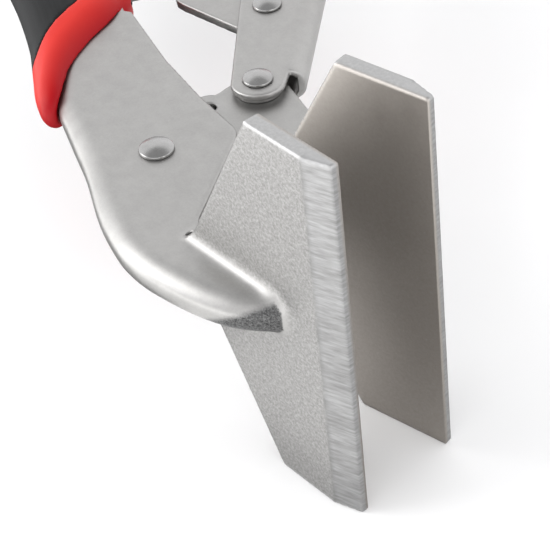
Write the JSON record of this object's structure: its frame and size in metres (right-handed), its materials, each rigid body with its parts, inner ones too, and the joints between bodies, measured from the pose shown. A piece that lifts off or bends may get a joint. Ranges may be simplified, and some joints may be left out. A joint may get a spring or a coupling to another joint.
{
  "type": "hand seamer",
  "caption": "Compound-action hand seamer: wide flat folding jaws on a toggle linkage with two rubber-gripped, angled handles.",
  "frame": {"origin": "on the fixed jaw's gripping face, 10 mm behind its lip and halfway along it", "axes": "+X towards the lips, +Y out of the fixed jaw's gripping face towards the moving jaw, +Z along the pivots and the lips"},
  "size_m": [0.2089, 0.1802, 0.0826],
  "materials": {
    "nickel_plate": "satin nickel plate over pressed steel, finely blasted",
    "rivet_steel": "plated rivet steel, smooth and brighter than the pressings",
    "spring_steel": "drawn spring wire",
    "red_rubber": "satin red soft grip",
    "black_rubber": "matt charcoal soft grip"
  },
  "bodies": {
    "fixed_arm": {"fixed_jaw_arm": "nickel_plate", "main_rivet": "rivet_steel", "main_washer_upper": "rivet_steel", "main_washer_lower": "rivet_steel", "link_pin_rear": "rivet_steel", "link_rear_washer_upper": "rivet_steel", "link_rear_washer_lower": "rivet_steel", "spring_anchor_pin": "rivet_steel", "return_spring": "spring_steel", "fixed_grip_core": "red_rubber", "fixed_grip_sleeve": "black_rubber"},
    "moving_jaw": {"moving_jaw": "nickel_plate", "jaw_rivet": "rivet_steel", "jaw_washer_upper": "rivet_steel", "jaw_washer_lower": "rivet_steel"},
    "lever": {"lever_handle": "nickel_plate", "link_rivet_front": "rivet_steel", "link_front_washer_upper": "rivet_steel", "link_front_washer_lower": "rivet_steel", "lever_grip_core": "red_rubber", "lever_grip_sleeve": "black_rubber"},
    "link": {"toggle_link": "nickel_plate"}
  },
  "joints": [
    {"name": "jaw_hinge", "type": "hinge", "parent": "fixed_arm", "child": "moving_jaw", "pos_m": [-0.057, 0.0092, 0], "axis": [0, 0, 1], "range_deg": [-18.7, 0], "stiffness_Nm_per_rad": 0.3, "springref_deg": 28.65, "deforming": ["return_spring"]},
    {"name": "lever_hinge", "type": "hinge", "parent": "moving_jaw", "child": "lever", "pos_m": [-0.0602, 0.0382, 0], "axis": [0, 0, 1], "range_deg": [0, 39.4]},
    {"name": "link_hinge", "type": "hinge", "parent": "lever", "child": "link", "pos_m": [-0.0794, 0.0573, 0], "axis": [0, 0, 1], "range_deg": [-32.6, 0]}
  ],
  "couplings": [
    {"joint": "lever_hinge", "follows": "jaw_hinge", "ratio": -2.1003},
    {"joint": "link_hinge", "follows": "jaw_hinge", "ratio": 1.7375}
  ]
}
